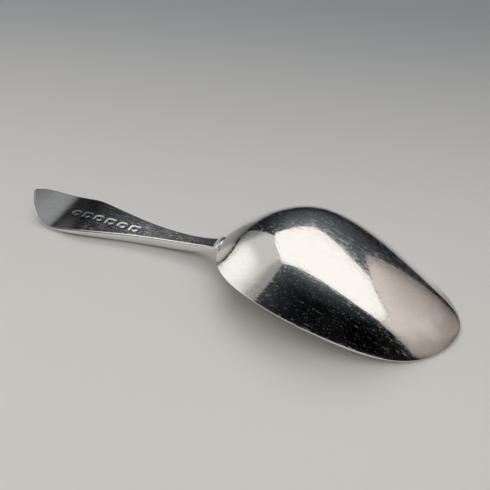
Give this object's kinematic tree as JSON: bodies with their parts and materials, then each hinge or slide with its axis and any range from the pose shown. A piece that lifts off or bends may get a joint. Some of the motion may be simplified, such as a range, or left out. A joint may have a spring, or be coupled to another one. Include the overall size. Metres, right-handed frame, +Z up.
{
  "type": "caddy spoon",
  "caption": "Silver caddy spoon with a deep scoop bowl and a flat tapering handle with a pointed, turned end, lying bowl down.",
  "frame": {"origin": "on the table, below the middle of the spoon's length and width", "axes": "+Z up from the table the spoon lies on with its bowl turned down, +X towards the lip of the bowl, -X towards the tip of the handle"},
  "size_m": [0.0912, 0.0284, 0.0151],
  "materials": {
    "polished_silver": "hand polished silver with fine scratches from use",
    "silver_solder": "hard silver solder, polished over and slightly pitted"
  },
  "bodies": {
    "root": {"bowl": "polished_silver", "handle": "polished_silver", "solder_joint": "silver_solder"}
  },
  "joints": []
}
